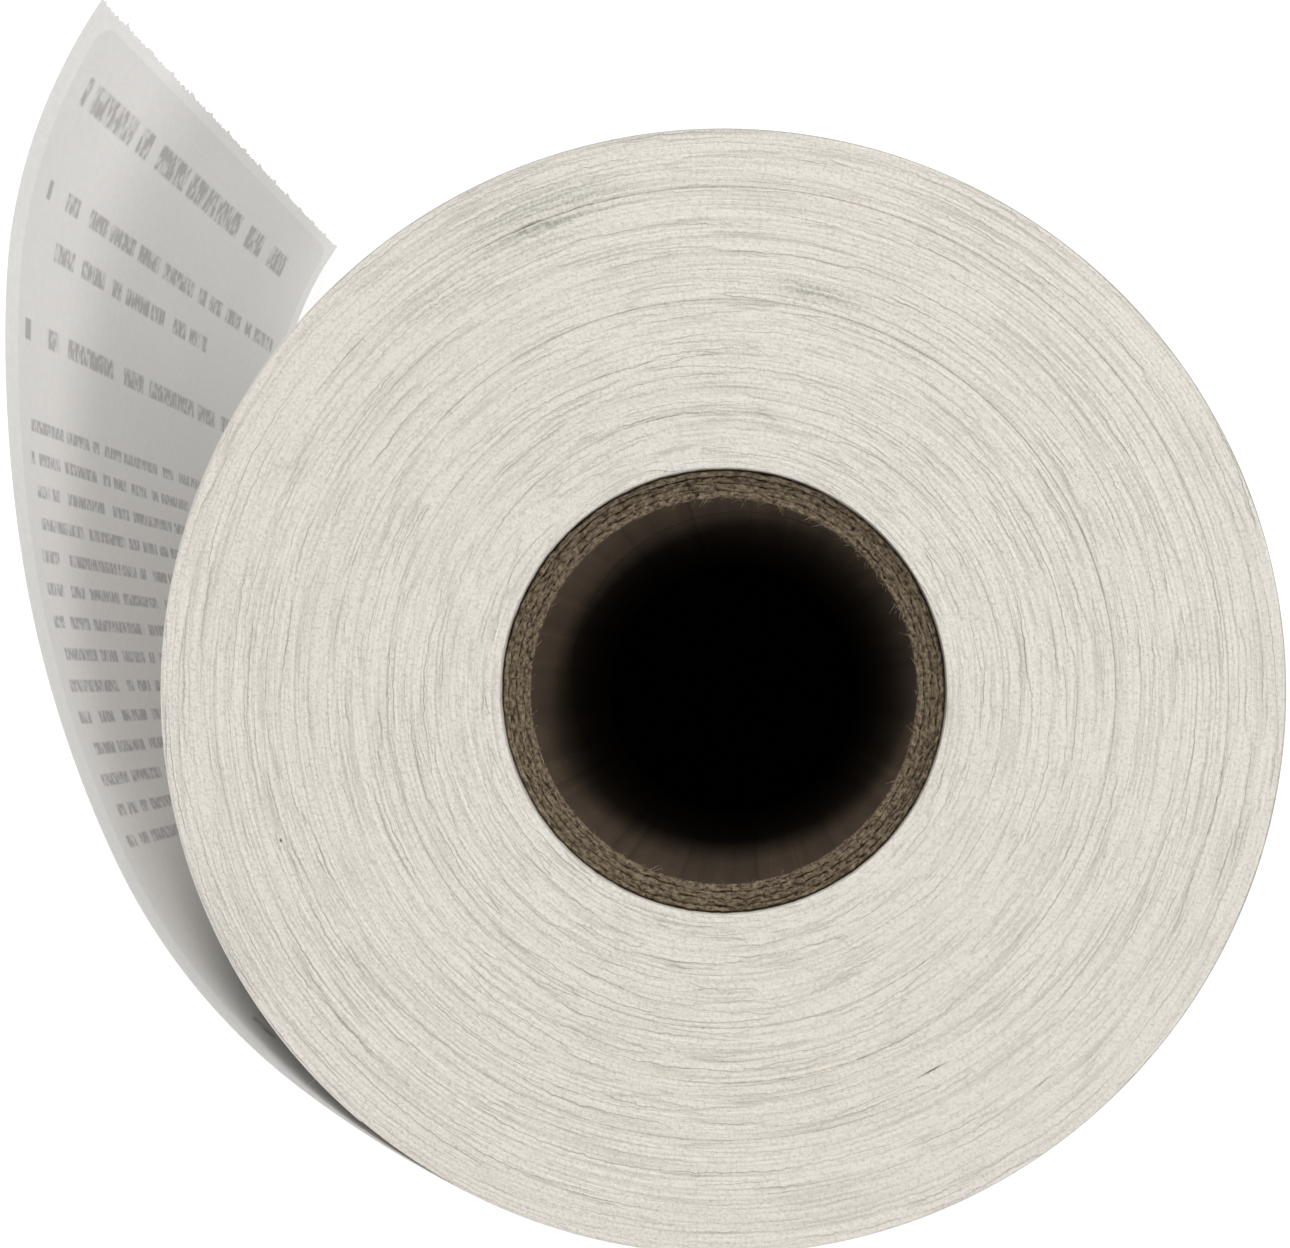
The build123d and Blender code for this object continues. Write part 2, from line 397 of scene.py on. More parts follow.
def kraft_liner_ply():
    """Smooth brown kraft, with the helical seam where the strip's edges meet."""
    material, tree, shader = blank_material("kraft_liner_ply")
    place = node(tree, "TexCoord").outputs["Object"]
    parts = node(tree, "SeparateXYZ", Vector=place)
    angle = node(tree, "Math", "ARCTAN2", parts.outputs[1], parts.outputs[0])
    climbed = node(tree, "Math", "MULTIPLY_ADD", parts.outputs[2], math.tau / SEAM_LEAD, angle)
    half_turns = node(tree, "Math", "MULTIPLY", climbed, 0.5)
    seam = node(tree, "Math", "ABSOLUTE", node(tree, "Math", "SINE", half_turns))
    line = node(tree, "MapRange", None, seam, 0.02, 0.008, 0.0, 0.6)
    squashed = node(tree, "VectorMath", "MULTIPLY", place, (1, 1, 2.2))
    grain = node(tree, "TexNoise", Vector=squashed, Scale=1 / KRAFT_GRAIN, Detail=4.0, Roughness=0.65)
    kraft = node(tree, "Mix", COLOURS, grain, colour("#3f352a"), colour("#655546"))
    seamed = node(tree, "Mix", COLOURS, line, kraft, colour("#1d1712"))
    feed(tree, shader.inputs["Base Color"], seamed)
    bump = node(tree, "Bump", Height=grain, Strength=0.25, Distance=0.1 * MM)
    feed(tree, shader.inputs["Normal"], bump)
    shader.inputs["Roughness"].default_value = 0.8
    shader.inputs["Specular IOR Level"].default_value = 0.3
    return material


cut_board = rough_cut_board("rough_cut_board", "#978770", "#54483a")
pale_board = rough_cut_board("rough_cut_board_outer", "#a4957d", "#605443")
bore_kraft = kraft_liner_ply()
print("made", cut_board.name, pale_board.name, bore_kraft.name)

# %% [markdown]
# ## The core's plies
# Each ply is turned like a band, with a finer step round so that the torn cut has somewhere to go.
# The cut face gets its roughness as real height, because a low light would show a flat top under a
# bump at once. Each ply's rim is drawn in a little, which leaves the glue lines as fine grooves.

# %% Build the plies
PLY_STEPS_ROUND = 900
GLUE_GROOVE = 0.03 * MM
INNER_WALL_TOP, OUTER_WALL_TOP = core_top - 1.0 * MM, core_top - 1.6 * MM
CUT_LEVEL = core_top - 0.5 * MM
CUT_FROM = core_top - 0.9 * MM  # all that lies above this is torn
CUT_EDGE_DROP = 0.15 * MM
CUT_ROUGHNESS = 0.55 * MM
CUT_RAGGED = 0.22 * MM  # how far the cut's fibres lean in or out
CUT_ROWS = 6
STRAND_SIZE = 0.45 * MM
STRAND_STRETCH = 2.2  # the fibres run along the plies
CRUSH = 0.35 * MM
LAP_FROM, LAP_TO = math.radians(58), math.radians(147)  # where the outer ply's end laps over itself
LAP_RISE = 0.35 * MM
ply_nodes = ["core_inner_ply", "core_second_ply", "core_third_ply", "core_outer_ply"]
ply_t = (core_r - bore_r) / len(ply_nodes)


def core_ply(number, name):
    """One ply: smooth walls, a flat foot and a torn upper cut."""
    inner, outer = bore_r + number * ply_t, bore_r + (number + 1) * ply_t
    crushed = CRUSH if name == "core_outer_ply" else 0.0
    profile = [(outer, 0.0), (inner, 0.0), (inner, INNER_WALL_TOP)]
    for row in range(CUT_ROWS + 1):
        share = row / CUT_ROWS
        edge = 0.0 if 0 < row < CUT_ROWS else 1.0
        r = inner + GLUE_GROOVE + (outer - inner - 2 * GLUE_GROOVE - crushed) * share
        profile.append((r, CUT_LEVEL - edge * CUT_EDGE_DROP))
    profile.append((outer, OUTER_WALL_TOP))
    bm = bmesh.new()
    turned(bm, profile, PLY_STEPS_ROUND)
    for vert in bm.verts:
        if vert.co.z > CUT_FROM:
            angle = math.atan2(vert.co.y, vert.co.x)
            way = vert.co.xy.normalized() * (core_r / STRAND_SIZE / STRAND_STRETCH)
            spot = Vector((way.x, way.y, vert.co.xy.length / STRAND_SIZE))
            vert.co.z += CUT_ROUGHNESS * noise.noise(spot)
            vert.co.z += 0.4 * CUT_ROUGHNESS * noise.noise(spot * 2.3)
            push = CUT_RAGGED * noise.noise(spot * 0.5 + Vector((9, 4, 2)))
            vert.co.xy += vert.co.xy.normalized() * push
            if name == "core_outer_ply" and LAP_FROM < angle < LAP_TO:
                vert.co.z += LAP_RISE
    materials = [pale_board if name == "core_outer_ply" else cut_board, bore_kraft]
    if name == "core_inner_ply":
        for face in bm.faces:
            centre = face.calc_center_median()
            if centre.xy.length < inner + 0.02 * MM:
                face.material_index = 1
    return finish_piece(bm, name.replace("core", "board"), materials, "roll", "core_board", name)


plies = [core_ply(number, name) for number, name in enumerate(ply_nodes)]
print("ply faces:", [len(ply.data.polygons) for ply in plies])

# %% [markdown]
# ## Torn fibres in the bore
# Where the blade left the bore's edge, it pulled out short ends of fibre. Each is a thin cone of a
# few faces that leans its own way. They are scattered with a fixed seed, most of them on one side.


# %% Scatter the fibres
def tapered_fibre(bm, root, lean, length, thick):
    """A straight, tapered strand that leans one way from its root."""
    made = bmesh.ops.create_cone(
        bm, cap_ends=True, segments=5, radius1=thick, radius2=thick * 0.3, depth=length
    )["verts"]
    bmesh.ops.translate(bm, verts=made, vec=(0, 0, length / 2))
    turn = Vector((0, 0, 1)).rotation_difference(lean).to_matrix()
    bmesh.ops.rotate(bm, verts=made, cent=(0, 0, 0), matrix=turn)
    bmesh.ops.translate(bm, verts=made, vec=root)


def torn_fibres():
    """The fibre ends round the bore's edge."""
    dice = random.Random(11)
    bm = bmesh.new()
    for _ in range(150):
        angle = math.radians(dice.gauss(52, 30) if dice.random() < 0.6 else dice.uniform(0, 360))
        out = Vector((math.cos(angle), math.sin(angle), 0))
        along = Vector((-math.sin(angle), math.cos(angle), 0)) * dice.choice((-1, 1))
        lean = (along * dice.uniform(0.4, 1.0) - out * dice.uniform(0.1, 0.9)).normalized()
        lean.z = dice.uniform(-0.4, 0.15)
        root = out * (bore_r + dice.uniform(0.0, 0.5) * MM)
        root.z = core_top - dice.uniform(0.5, 1.1) * MM
        length, thick = dice.uniform(0.5, 1.6) * MM, dice.uniform(0.03, 0.07) * MM
        tapered_fibre(bm, root, lean.normalized(), length, thick)
    return finish_piece(bm, "torn_fibres", pale_board, "roll", "core_board")


fibres = torn_fibres()
print("fibre faces:", len(fibres.data.polygons))

# %% [markdown]
# ## The tape under the first turn
# A strip of brown tape holds the web's first end to the core. It lies hidden under the turns, and
# its CAD solid has the right shape already, so it only gets a finish: creped kraft tape, whose fine
# ribs run across the strip.


# %% Finish the tape
def creped_kraft_tape():
    """Paper tape: brown, matt, with fine creping."""
    material, tree, shader = blank_material("creped_kraft_tape")
    place = node(tree, "TexCoord").outputs["Object"]
    stretched = node(tree, "VectorMath", "MULTIPLY", place, (0.2, 3.0, 0.2))
    ribs = node(tree, "TexNoise", Vector=stretched, Scale=1 / (1.2 * MM), Detail=3.0)
    tone = node(tree, "Mix", COLOURS, ribs, colour("#9c7a50"), colour("#b8966a"))
    feed(tree, shader.inputs["Base Color"], tone)
    bump = node(tree, "Bump", Height=ribs, Strength=0.4, Distance=0.1 * MM)
    feed(tree, shader.inputs["Normal"], bump)
    shader.inputs["Roughness"].default_value = 0.75
    return material


tape_paper = creped_kraft_tape()
tape = frame["nodes"]["core_start_tape"]
tape.data.materials.clear()
tape.data.materials.append(tape_paper)
print("finished", tape.name)

# %% [markdown]
# ## Where the web runs
# Liner and labels are cut flat and then bent, as the real ones are. One function says where a point
# of the flat web goes: along is measured from the line where the tail leaves the roll, forwards to
# the torn end and backwards round the outermost turn, and off is how far outside the liner's inner
# face it lies.


# %% Bend the flat web on to its path
def web_place(along, off):
    """The point of the web's path at this distance along and this far outside."""
    x, y = liner_r * math.cos(LEAVES_AT), liner_r * math.sin(LEAVES_AT)
    if along <= 0:
        angle = LEAVES_AT - along / (liner_r + LINER_T)
        return Vector(((liner_r + off) * math.cos(angle), (liner_r + off) * math.sin(angle), 0))
    heading = math.atan2(-math.cos(LEAVES_AT), math.sin(LEAVES_AT))
    lengths = [ROOT_LENGTH] + [lead_step] * (len(BEND_RADII) - 1)
    for number, (length, bend_r) in enumerate(zip(lengths, BEND_RADII)):
        centre = Vector((x + bend_r * math.sin(heading), y - bend_r * math.cos(heading), 0))
        start = heading + math.pi / 2
        if along <= length or number == len(BEND_RADII) - 1:
            angle = start - along / bend_r
            return centre + (bend_r + off) * Vector((math.cos(angle), math.sin(angle), 0))
        along -= length
        heading -= length / bend_r
        x = centre.x + bend_r * math.cos(start - length / bend_r)
        y = centre.y + bend_r * math.sin(start - length / bend_r)


tip = web_place(tail_length, 0)
print("torn end at, mm:", round(tip.x * 1000, 1), round(tip.y * 1000, 1))

# %% [markdown]
# ## The liner and label finishes
# The liner is thin, calendered paper. Its inner side is printed with small grey type, which here is
# plain bars the length of words. Where a label lies behind it, it is painted a shade darker: painted
# shade for the light that the label keeps from coming through the thin liner. Its outer side is
# silicone-coated, so that the labels come off, and it has a dull gloss.
#
# The print has to follow the paper, so the sheets carry a UV map in metres: across is the distance
# from the torn end, and up is the depth below the upper edge.

# %% The liner's print
PRINT_REPEAT = 135.4 * MM
TITLE = (9.1, 13.1, 6.7, 92.0)  # from the torn end, and down from the upper edge: both in mm
TEXT_LINES = [(24.0, 26.6, 12.0, 99.0), (31.2, 33.8, 11.6, 68.0), (43.2, 46.0, 10.8, 98.0)]
NUMBERS = [(24.0, 26.6, 6.7, 7.7), (43.2, 46.0, 5.1, 6.6)]
SMALL_FIRST, SMALL_PITCH, SMALL_LINES = 57.4, 4.46, 14
SMALL_HEIGHT, SMALL_FROM, SMALL_TO = 1.7, 5.5, 102.5
EDGE_SOFT = 0.15  # all these sizes are in millimetres
INK_STRENGTH = 0.52


def inside(tree, value, low, high, soft):
    """1 where the value lies between two limits, with soft ends."""
    rising = node(tree, "MapRange", None, value, low - soft, low + soft)
    falling = node(tree, "MapRange", None, value, high + soft, high - soft)
    return node(tree, "Math", "MINIMUM", rising, falling)


def typed(tree, across, down, word_length, letter, seed):
    """Bars the length of words, broken up inside like type too small to read."""
    place = node(tree, "Math", "MULTIPLY_ADD", down, 1 / word_length, seed)
    words = node(tree, "TexNoise", {"noise_dimensions": "1D"}, W=place, Scale=1.0, Detail=1.0)
    gaps = node(tree, "MapRange", None, words, 0.61, 0.57)
    squeezed = node(tree, "Math", "MULTIPLY", across, 0.45)
    where = node(tree, "CombineXYZ", None, squeezed, down, seed)
    strokes = node(tree, "TexNoise", Vector=where, Scale=1 / letter, Detail=1.0, Roughness=0.6)
    broken = node(tree, "MapRange", None, strokes, 0.60, 0.44, 0.30, 1.0)
    return node(tree, "Math", "MULTIPLY", gaps, broken)


def label_behind(tree, across, down):
    """1 where a label lies on the liner's other side: the lead label, or one past the gap."""
    half_long, half_high = LABEL_LENGTH / MM / 2, (label_high - label_low) / MM / 2
    margin, corner = TORN_MARGIN / MM, LABEL_CORNER / MM
    middle = (web_width - (label_low + label_high) / 2) / MM
    past = []
    for value, centre, half in ((across, margin + half_long, half_long), (down, middle, half_high)):
        off_centre = node(tree, "Math", "ABSOLUTE", node(tree, "Math", "SUBTRACT", value, centre))
        past_corner = node(tree, "Math", "SUBTRACT", off_centre, half - corner)
        past.append(node(tree, "Math", "MAXIMUM", past_corner, 0.0))
    far = node(tree, "VectorMath", "LENGTH", node(tree, "CombineXYZ", None, *past))
    lead = node(tree, "MapRange", None, far, corner + EDGE_SOFT, corner - EDGE_SOFT)
    next_label = margin + (LABEL_LENGTH + LABEL_GAP) / MM
    past_gap = node(tree, "MapRange", None, across, next_label - 0.1, next_label + 0.2)
    high_enough = inside(tree, down, middle - half_high, middle + half_high, EDGE_SOFT)
    return node(tree, "Math", "MAXIMUM", lead, node(tree, "Math", "MULTIPLY", past_gap, high_enough))


def typed_lines(tree, turn, down):
    """The print's ink: a title, a few lines of text with their numbers, and a block of small lines."""
    words = typed(tree, turn, down, word_length=6.5, letter=1.0, seed=3.1)
    line = node(tree, "Math", "MULTIPLY", words, inside(tree, turn, *TITLE[:2], 0.25))
    ink = node(tree, "Math", "MULTIPLY", line, inside(tree, down, *TITLE[2:], 0.2))
    for number, (low, high, start, stop) in enumerate(TEXT_LINES):
        words = typed(tree, turn, down, word_length=4.6, letter=0.75, seed=11.7 * (number + 1))
        line = node(tree, "Math", "MULTIPLY", words, inside(tree, turn, low, high, 0.2))
        line = node(tree, "Math", "MULTIPLY", line, inside(tree, down, start, stop, 0.2))
        ink = node(tree, "Math", "MAXIMUM", ink, line)
    for low, high, start, stop in NUMBERS:
        mark = inside(tree, turn, low, high, EDGE_SOFT)
        mark = node(tree, "Math", "MULTIPLY", mark, inside(tree, down, start, stop, EDGE_SOFT))
        ink = node(tree, "Math", "MAXIMUM", ink, mark)

    from_first = node(tree, "Math", "SUBTRACT", turn, SMALL_FIRST - SMALL_PITCH / 2)
    lines_in = node(tree, "Math", "DIVIDE", from_first, SMALL_PITCH)
    which = node(tree, "Math", "FLOOR", lines_in)
    within = node(tree, "Math", "MULTIPLY", node(tree, "Math", "FRACT", lines_in), SMALL_PITCH)
    edge = (SMALL_PITCH - SMALL_HEIGHT) / 2
    row = inside(tree, within, edge, SMALL_PITCH - edge, EDGE_SOFT)
    row = node(tree, "Math", "MULTIPLY", row, inside(tree, which, -0.5, SMALL_LINES - 0.5, 0.1))
    row = node(tree, "Math", "MULTIPLY", row, inside(tree, down, SMALL_FROM, SMALL_TO, 0.2))
    seed = node(tree, "Math", "MULTIPLY", which, 17.3)
    words = typed(tree, turn, down, word_length=3.6, letter=0.6, seed=seed)
    return node(tree, "Math", "MAXIMUM", ink, node(tree, "Math", "MULTIPLY", row, words))


def printed_liner():
    """Calendered release liner, printed side: cool grey-white, matt, with small grey type."""
    material, tree, shader = blank_material("printed_release_liner")
    cut = node(tree, "UVMap", {"uv_map": "web"})
    in_mm = node(tree, "VectorMath", "SCALE", cut, 1 / MM)
    parts = node(tree, "SeparateXYZ", Vector=in_mm)
    across, down = parts.outputs[0], parts.outputs[1]

    # Painted shade: where a label lies behind the liner, the paper is painted darker, for the light
    # that the label keeps from coming through.
    behind = label_behind(tree, across, down)
    fibre = node(tree, "TexNoise", Vector=in_mm, Scale=1 / 1.1, Detail=4.0, Roughness=0.65)
    cloudy = node(tree, "TexNoise", Vector=in_mm, Scale=1 / 14.0, Detail=2.0)
    bare = node(tree, "Mix", COLOURS, cloudy, colour("#ecebe8"), colour("#e8e6e2"))
    label_shaded_paper = node(tree, "Mix", COLOURS, cloudy, colour("#e5e2de"), colour("#dfdcd8"))
    paper = node(tree, "Mix", COLOURS, behind, bare, label_shaded_paper)
    mottle = node(tree, "MapRange", None, fibre, 0.35, 0.7, 0.0, 0.22)
    paper = node(tree, "Mix", COLOURS, mottle, paper, colour("#cbc8c4"))
    turn = node(tree, "Math", "MODULO", across, PRINT_REPEAT / MM)
    ink = node(tree, "Math", "MULTIPLY", typed_lines(tree, turn, down), INK_STRENGTH)
    printed = node(tree, "Mix", COLOURS, ink, paper, colour("#736e6c"))
    feed(tree, shader.inputs["Base Color"], printed)

    bump = node(tree, "Bump", Height=fibre, Strength=0.15, Distance=0.08 * MM)
    feed(tree, shader.inputs["Normal"], bump)
    shader.inputs["Roughness"].default_value = 0.72
    shader.inputs["Specular IOR Level"].default_value = 0.35
    return material


PAPER_CLOUDS = 9 * MM


def coated_paper(name, pale, deep, rough, gloss, grain):
    """A smooth coated paper: even, with a faint fibrous cloudiness under the coating."""
    material, tree, shader = blank_material(name)
    place = node(tree, "TexCoord").outputs["Object"]
    cloudy = node(tree, "TexNoise", Vector=place, Scale=1 / PAPER_CLOUDS, Detail=3.0)
    fibre = node(tree, "TexNoise", Vector=place, Scale=1 / grain, Detail=3.0, Roughness=0.6)
    half_clouds = node(tree, "Math", "MULTIPLY", cloudy, 0.5)
    tone = node(tree, "Math", "MULTIPLY_ADD", fibre, 0.5, half_clouds)
    paper = node(tree, "Mix", COLOURS, tone, colour(pale), colour(deep))
    feed(tree, shader.inputs["Base Color"], paper)
    rough_map = node(tree, "MapRange", None, fibre, 0.0, 1.0, rough - 0.06, rough + 0.06)
    feed(tree, shader.inputs["Roughness"], rough_map)
    bump = node(tree, "Bump", Height=fibre, Strength=0.12, Distance=0.05 * MM)
    feed(tree, shader.inputs["Normal"], bump)
    shader.inputs["Specular IOR Level"].default_value = gloss
    return material


printed_side = printed_liner()
silicone_side = coated_paper("silicone_coated_liner", "#e9e7e2", "#dedbd5", 0.42, 0.45, 0.8 * MM)
label_stock = coated_paper("direct_thermal_label_stock", "#eeeeed", "#e6e6e5", 0.50, 0.5, 0.6 * MM)
print("made", printed_side.name, silicone_side.name, label_stock.name)

# %% [markdown]
# ## Cutting sheets from the web
# Each sheet starts as one flat rectangle. A die-cut label gets its round corners from a vertex
# bevel. Bisecting it across the web gives it the columns that it bends at, extruding gives it its
# thickness, and only then is it bent on to the path. The columns lie at the same places in the liner
# and in the labels, so the label's flat facets stay on the liner's.

# %% A flat sheet, cut and bent
COLUMN = 1.7 * MM
ROWS = 12
WAVE = 0.22 * MM


def wavy(along, depth):
    """How far the loose end of the tail cockles, which is nothing on the roll."""
    free = max(0.0, min(1.0, along / tail_length))
    wave = noise.noise(Vector((along / (31 * MM), depth / (44 * MM), 0.0)))
    return WAVE * free * free * wave


def sheet(begin, end, low, high, off, thick, round_at=(), rows=ROWS, perforated=False):
    """A bmesh of one sheet: cut flat, with its UV map, then bent. Lengths are along the web."""
    bm = bmesh.new()
    flat = [(begin, low), (end, low), (end, high), (begin, high)]
    bm.faces.new([bm.verts.new((along, off, depth)) for along, depth in flat])
    cut = [vert for vert in bm.verts if any(abs(vert.co.x - at) < 1e-7 for at in round_at)]
    if cut:
        bmesh.ops.bevel(
            bm, geom=cut, offset=LABEL_CORNER, offset_type="OFFSET", segments=8, profile=0.5,
            affect="VERTICES", material=-1,
        )

    def cut_at(place, normal):
        """Cuts the sheet straight across at one place."""
        everything = bm.verts[:] + bm.edges[:] + bm.faces[:]
        bmesh.ops.bisect_plane(bm, geom=everything, dist=1e-8, plane_co=place, plane_no=normal)

    for column in range(math.ceil(begin / COLUMN), math.floor(end / COLUMN) + 1):
        cut_at((column * COLUMN, 0, 0), (1, 0, 0))
    for row in range(1, rows):
        cut_at((0, 0, low + (high - low) * row / rows), (0, 0, 1))
    if perforated:
        perforate(bm, cut_at)
    grown = bmesh.ops.extrude_face_region(bm, geom=bm.faces[:])["geom"]
    moved = [item for item in grown if isinstance(item, bmesh.types.BMVert)]
    bmesh.ops.translate(bm, verts=moved, vec=(0, thick, 0))
    bmesh.ops.recalc_face_normals(bm, faces=bm.faces)

    layer = bm.loops.layers.uv.new("web")
    for face in bm.faces:
        face.material_index = 0 if face.normal.y < -0.5 else 1
        for loop in face.loops:
            along, _, depth = loop.vert.co
            loop[layer].uv = (tail_length - along, web_width - depth)
    return bm


def bend(bm):
    """Moves a flat sheet's points on to the web's path."""
    for vert in bm.verts:
        along, off, depth = vert.co
        place = web_place(along, off + wavy(along, depth))
        vert.co = (place.x, place.y, depth)


TIE_PITCH = 7.65 * MM
TIE_WIDTH = 1.0 * MM
SLIT_WIDTH = 0.03 * MM


def perforate(bm, cut_at):
    """Slits the flat liner at the perforation and leaves the ties between the slits."""
    low, high = ROOT_LENGTH - SLIT_WIDTH / 2, ROOT_LENGTH + SLIT_WIDTH / 2
    cut_at((low, 0, 0), (1, 0, 0))
    cut_at((high, 0, 0), (1, 0, 0))
    ties = round(web_width / TIE_PITCH)
    for tie in range(ties):
        cut_at((0, 0, tie * TIE_PITCH), (0, 0, 1))
        cut_at((0, 0, tie * TIE_PITCH + TIE_WIDTH), (0, 0, 1))
    slits = []
    for face in bm.faces:
        centre = face.calc_center_median()
        if low < centre.x < high and centre.z % TIE_PITCH > TIE_WIDTH:
            slits.append(face)
    bmesh.ops.delete(bm, geom=slits, context="FACES")


print("columns round the outermost turn:", round(OUTER_TURN_SWEEP * liner_r / COLUMN))

# %% [markdown]
# ## The liner, from the roll to the torn end
# The tail is springy paper, and the CAD model lets it flex at four places. A piece of liner that
# spans one of them is cut and bent in one curve across it, but it rides on no body, so it doesn't
# bend when the tail flexes. The pieces meet in the middle of each stretch, where nothing bends.

# %% Cut the liner's pieces
flex_at = [ROOT_LENGTH + lead_step * number for number in range(4)]
flap_root = tail_length - TORN_MARGIN - FLAP_LENGTH
seams = [ROOT_LENGTH / 2] + [at + lead_step / 2 for at in flex_at]
reach = [ROOT_LENGTH / 2, lead_step / 2, lead_step / 2, flap_root - flex_at[3]]


def blended(piece, flex):
    """Bakes a piece's place into its mesh. It finds where the flex's stretch begins and ends but
    doesn't use them, and it ties the piece to no body.
    """
    start = web_place(flex_at[flex] - reach[flex], 0)
    end = web_place(flex_at[flex] + reach[flex], 0)
    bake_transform(piece)


TOOTH_PITCH = 1.4 * MM
TOOTH_DEPTH = 0.4 * MM
RAGGED_DEPTH = 0.4 * MM
SLIT_DEPTH = 0.3 * MM  # how far the slits' edges lie behind the ties


def torn(bm):
    """Tears the flat liner's end: a tooth at each tie and ragged fibre between."""
    for vert in bm.verts:
        if abs(vert.co.x - tail_length) < 1e-7:
            tie = (vert.co.z % TIE_PITCH) / TIE_PITCH
            gap = SLIT_DEPTH if tie > 0.16 else 0.0
            tooth = TOOTH_DEPTH * abs((vert.co.z / TOOTH_PITCH) % 1 - 0.5)
            ragged = RAGGED_DEPTH * (0.6 + noise.noise(Vector((0, 0, vert.co.z / (0.7 * MM)))))
            vert.co.x -= gap + tooth + ragged


liner_faces = [printed_side, silicone_side]
liner_begin = -OUTER_TURN_SWEEP * (liner_r + LINER_T)
on_roll = sheet(liner_begin, seams[0], 0, web_width, 0, LINER_T)
bend(on_roll)
finish_piece(on_roll, "liner_on_roll", liner_faces, "outer_turn", "release_liner", "outer_turn_liner")
for flex in range(4):
    name = f"tail_liner_flex_{flex + 1}"
    piece = sheet(seams[flex], seams[flex + 1], 0, web_width, 0, LINER_T, perforated=flex == 0)
    bend(piece)
    made = finish_piece(piece, name, liner_faces, None, "release_liner", f"tail_liner_{flex + 1}")
    blended(made, flex)
torn_rows = round(web_width / (0.3 * MM))
piece = sheet(seams[4], tail_length, 0, web_width, 0, LINER_T, rows=torn_rows)
torn(piece)
bend(piece)
finish_piece(piece, "tail_liner_torn", liner_faces, "tail_stretch_5", "release_liner", "tail_liner_5")
print("liner seams, mm:", [round(1000 * seam, 1) for seam in seams])

# %% [markdown]
# ## The labels
# Three labels go round the outermost turn, and a fourth, the lead label, covers the tail. The die
# leaves their corners round. The lead label's free end is a piece of its own, because a finger can
# lift it off the liner.

# %% Cut the labels
def label(name, begin, end, round_at, body, node_name, flex=None):
    """One label, or the part of it that lies on one body or across one flex."""
    bm = sheet(begin, end, label_low, label_high, LINER_T, LABEL_T, round_at)
    bend(bm)
    made = finish_piece(bm, name, [label_stock, label_stock], body, "label_face", node_name)
    if flex is not None:
        blended(made, flex)
    return made


CUT_WIDTH = 0.02 * MM
root_end = ROOT_LENGTH - LABEL_GAP / 2
lead_begin = ROOT_LENGTH + LABEL_GAP / 2
lead_end = tail_length - TORN_MARGIN
first_begin = root_end - LABEL_LENGTH
label("label_on_roll_1", first_begin, seams[0], [first_begin], "outer_turn", "outer_turn_label_1")
for number in (2, 3):
    stop = first_begin - LABEL_GAP - (number - 2) * (LABEL_LENGTH + LABEL_GAP)
    start = stop - LABEL_LENGTH
    cad_name = f"outer_turn_label_{number}"
    label(f"label_on_roll_{number}", start, stop, [start, stop], "outer_turn", cad_name)
label("label_root", seams[0], root_end, [root_end], None, "tail_label_root", flex=0)
label("lead_label_a", lead_begin, seams[1], [lead_begin], None, "lead_label_1", flex=0)
label("lead_label_b", seams[1], seams[2], [], None, "lead_label_2", flex=1)
label("lead_label_c", seams[2], seams[3], [], None, "lead_label_3", flex=2)
label("lead_label_d", seams[3], flap_root, [], None, "lead_label_4", flex=3)
label("lead_label_tip", flap_root + CUT_WIDTH, lead_end, [lead_end], "label_flap", "lead_label_flap")
print("lead label, mm:", round(1000 * (lead_end - lead_begin), 1))

# %% [markdown]
# ## Fibres on the torn end
# Tearing a perforation leaves a fuzz of paper fibres at each tie. They are thin cones like those in
# the bore, only shorter and white.


# %% Scatter the torn end's fibres
def torn_end_fuzz():
    """Short fibres that stand out of the torn end, more of them at the ties."""
    dice = random.Random(5)
    bm = bmesh.new()
    ahead = (web_place(tail_length, 0) - web_place(tail_length - 1 * MM, 0)).normalized()
    for _ in range(260):
        depth = dice.uniform(0.5 * MM, web_width - 0.5 * MM)
        if depth % TIE_PITCH > 1.6 * MM and dice.random() < 0.6:
            continue
        root = web_place(tail_length - 0.45 * MM, dice.uniform(0.1, 0.9) * LINER_T)
        root.z = depth
        lean = ahead + Vector([dice.uniform(-most, most) for most in (0.5, 0.5, 0.9)])
        length, thick = dice.uniform(0.3, 0.8) * MM, dice.uniform(0.02, 0.04) * MM
        tapered_fibre(bm, root, lean.normalized(), length, thick)
    return finish_piece(bm, "torn_end_fuzz", silicone_side, "tail_stretch_5", "release_liner")


fuzz = torn_end_fuzz()
print("fuzz faces:", len(fuzz.data.polygons))

# %% [markdown]
# ## The floor and the light
# The roll stands on a plain pale floor. From a little past the roll it has a painted glow, so that
# its shadows stay faint, and under the bore it is painted near black, as painted shade for the bore's
# dark bottom. Three soft lights stand low, one behind the roll and two on its right.
# They rake the slit edges, light the tail's inner face past the roll, and leave the bore dark. A weak
# one from the left and a dim, even sky keep the shadows soft. The far wall shows paler than that sky.

# %% Set the stage
FLOOR_ACROSS = 20.0
SKY_LIGHT = 0.46  # how strongly the sky lights the roll
WALL_SHOWN = 0.80  # how bright it looks behind the roll, as a far wall
FLOOR_GLOW = 0.62
GLOW_FROM, GLOW_TO = 80 * MM, 112 * MM


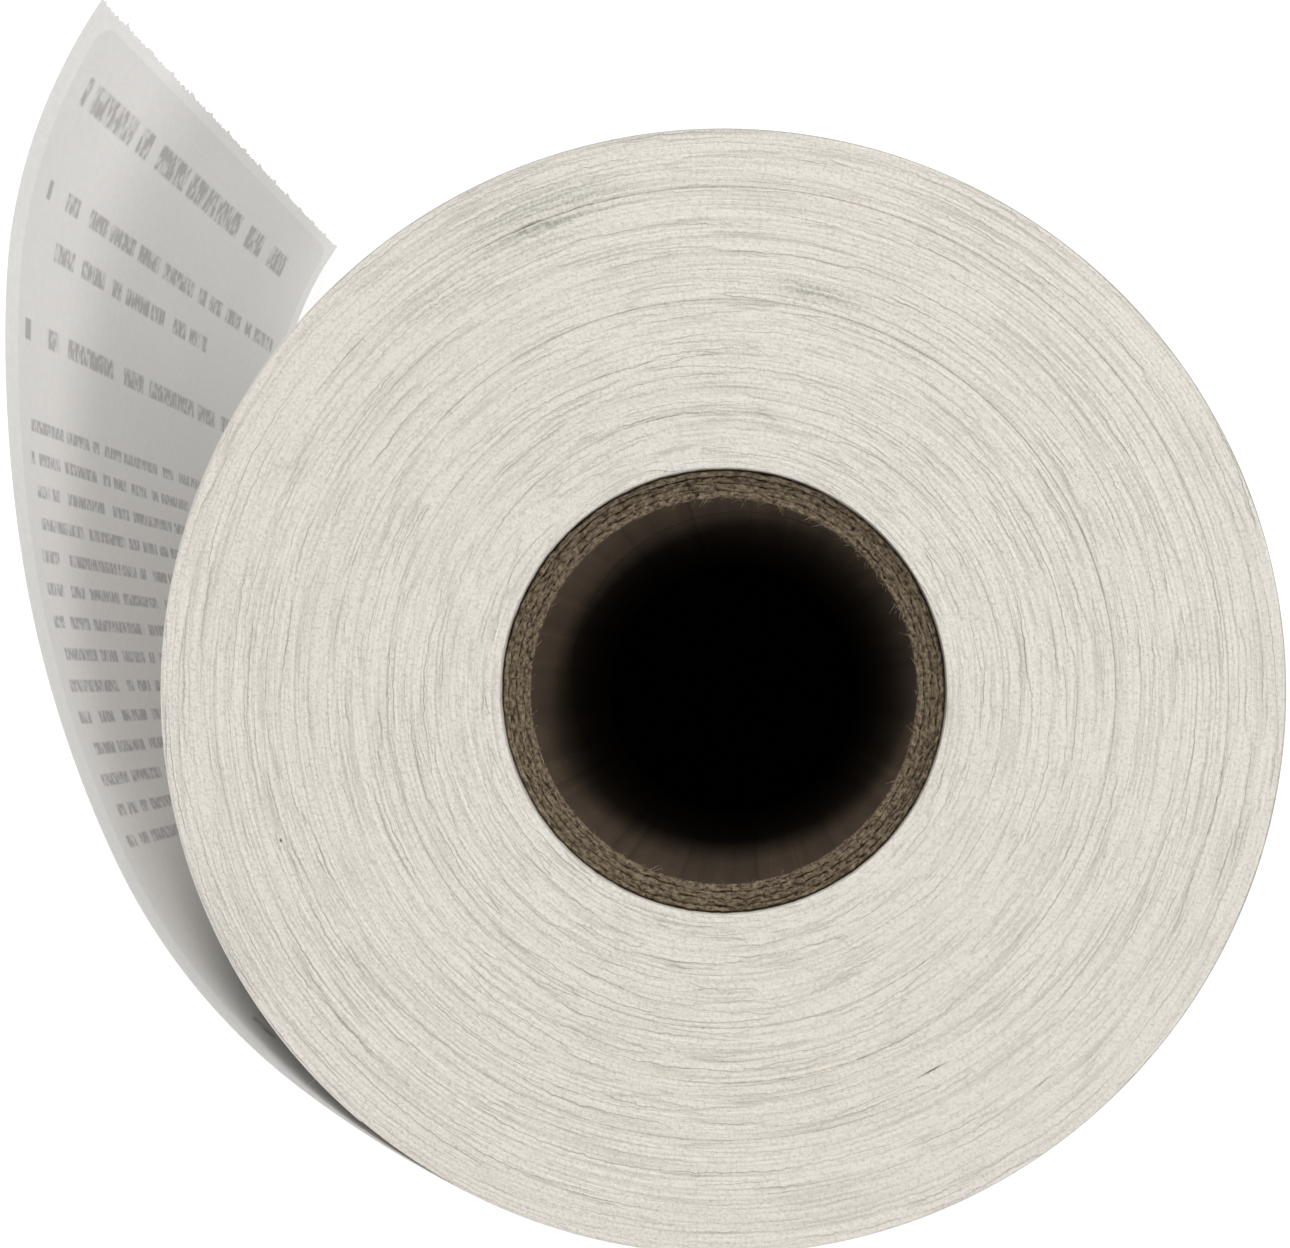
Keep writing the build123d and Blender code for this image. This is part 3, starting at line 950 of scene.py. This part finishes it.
def floor_with_painted_light():
    """A matt, nearly white floor, with a painted glow past the roll and painted shade under the bore.
    """
    material, tree, shader = blank_material("pale_floor_painted_glow_and_bore_shade")
    place = node(tree, "TexCoord").outputs["Object"]
    far = node(tree, "VectorMath", "LENGTH", place)
    smooth = {"interpolation_type": "SMOOTHSTEP"}
    # Painted light: the floor glows from a little past the roll outwards, so that the roll's shadows on
    # it stay faint.
    glow = node(tree, "MapRange", smooth, far, GLOW_FROM, GLOW_TO, 0.0, FLOOR_GLOW)
    feed(tree, shader.inputs["Emission Strength"], glow)
    shader.inputs["Emission Color"].default_value = colour("#ffffff")
    # Painted shade: the floor is painted near black under the bore, so that the bore's bottom reads
    # dark.
    under = node(tree, "MapRange", None, far, bore_r, core_r)
    floor_and_painted_bore_shade = node(tree, "Mix", COLOURS, under, colour("#0a0a0a"), colour("#cdcdcd"))
    feed(tree, shader.inputs["Base Color"], floor_and_painted_bore_shade)
    shader.inputs["Roughness"].default_value = 0.95
    shader.inputs["Specular IOR Level"].default_value = 0.1
    return material


bm = bmesh.new()
bmesh.ops.create_grid(bm, x_segments=1, y_segments=1, size=FLOOR_ACROSS / 2)
mesh = bpy.data.meshes.new("floor")
bm.to_mesh(mesh)
bm.free()
mesh.materials.append(floor_with_painted_light())
floor = bpy.data.objects.new("floor", mesh)
bpy.context.scene.collection.objects.link(floor)


def soft_light(name, way, rise, far, across, power):
    """A square soft light aimed at the roll's middle. Way, from +X, and rise are in degrees."""
    target = Vector((0, 0, web_width / 2))
    turn, lift = math.radians(way), math.radians(rise)
    out = Vector((math.cos(turn) * math.cos(lift), math.sin(turn) * math.cos(lift), math.sin(lift)))
    data = bpy.data.lights.new(name, "AREA")
    data.shape, data.size, data.energy = "SQUARE", across, power
    light = bpy.data.objects.new(name, data)
    light.location = target + out * far
    light.rotation_euler = out.to_track_quat("Z", "Y").to_euler()
    bpy.context.scene.collection.objects.link(light)
    return light


soft_light("top", 90, 36, 1.3, 0.5, 8.0)
soft_light("right", 8, 34, 1.3, 0.5, 2.0)
soft_light("low_right", -46, 36, 1.3, 0.4, 4.8)
soft_light("fill", 205, 19, 1.5, 1.0, 2.0)

world = bpy.data.worlds.new("pale_studio")
world.use_nodes = True
bpy.context.scene.world = world
sky = world.node_tree.nodes["Background"]
sky.inputs["Color"].default_value = colour("#f4f5f7")
seen = node(world.node_tree, "LightPath").outputs["Is Camera Ray"]
strength = node(world.node_tree, "Math", "MULTIPLY_ADD", seen, WALL_SHOWN - SKY_LIGHT, SKY_LIGHT)
feed(world.node_tree, sky.inputs["Strength"], strength)
bpy.context.scene.view_settings.view_transform = "Standard"
print("lights:", [item.name for item in bpy.data.lights])
